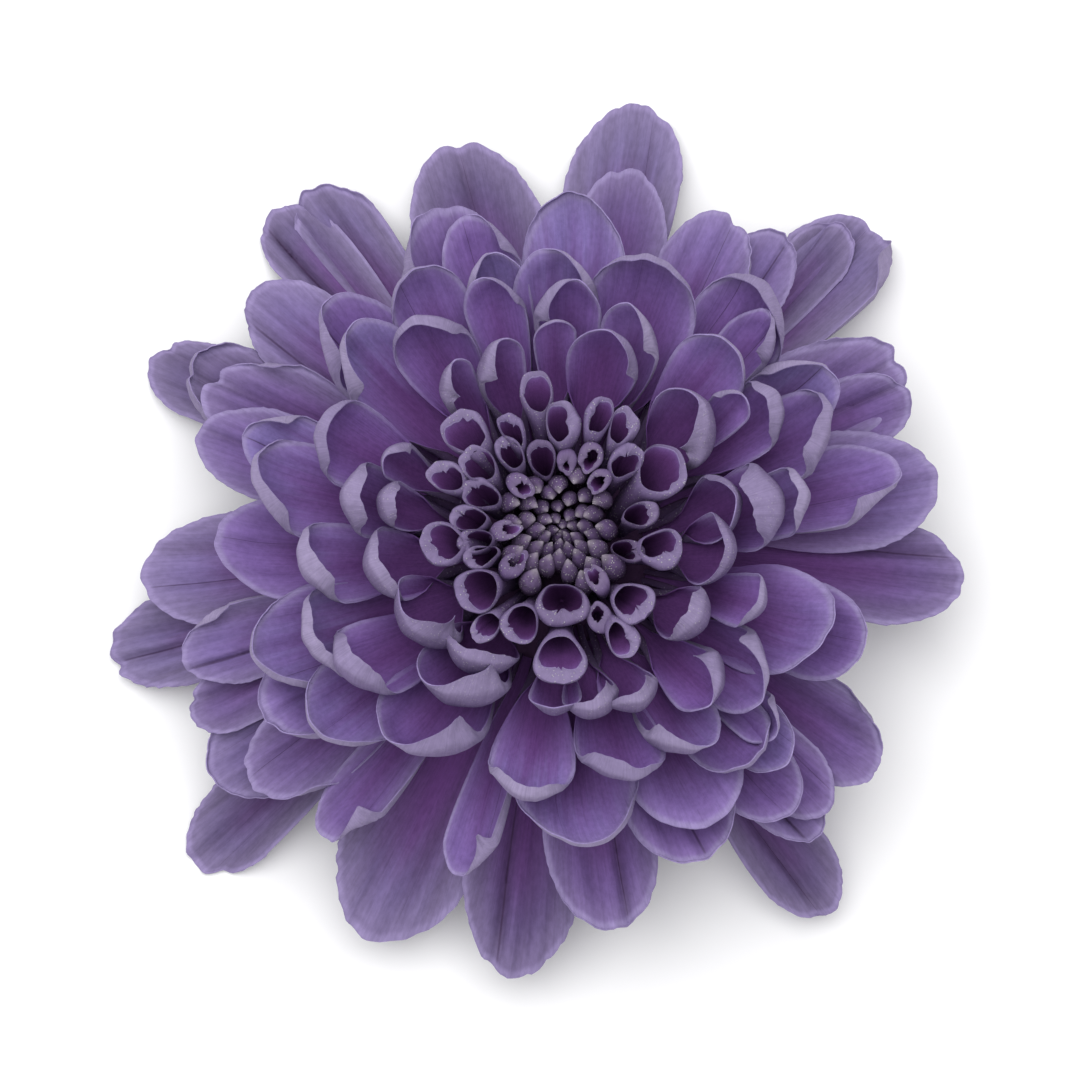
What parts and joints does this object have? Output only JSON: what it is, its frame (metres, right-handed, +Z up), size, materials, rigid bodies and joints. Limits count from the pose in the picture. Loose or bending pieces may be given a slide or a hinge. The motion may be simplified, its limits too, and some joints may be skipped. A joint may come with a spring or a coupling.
{
  "type": "pompon chrysanthemum bloom",
  "caption": "Double chrysanthemum flower head with cupped violet ray florets round a tight centre of young florets, resting face up on a short cut stub.",
  "frame": {"origin": "centre of the stub's flat cut end, on the bloom's axis", "axes": "+Z up along the bloom's axis out of its face, +Y the side that points up in the picture, +X the side that points right in it"},
  "size_m": [0.0827, 0.0876, 0.0296],
  "materials": {
    "petal_violet": "soft matt petal",
    "bud_grey_violet": "matt, finely hairy",
    "bract_green": "matt leaf",
    "stem_green": "satin stem"
  },
  "bodies": {
    "root": {"ray_florets": "petal_violet", "young_florets": "bud_grey_violet", "involucre": "bract_green", "peduncle": "stem_green"}
  },
  "joints": []
}
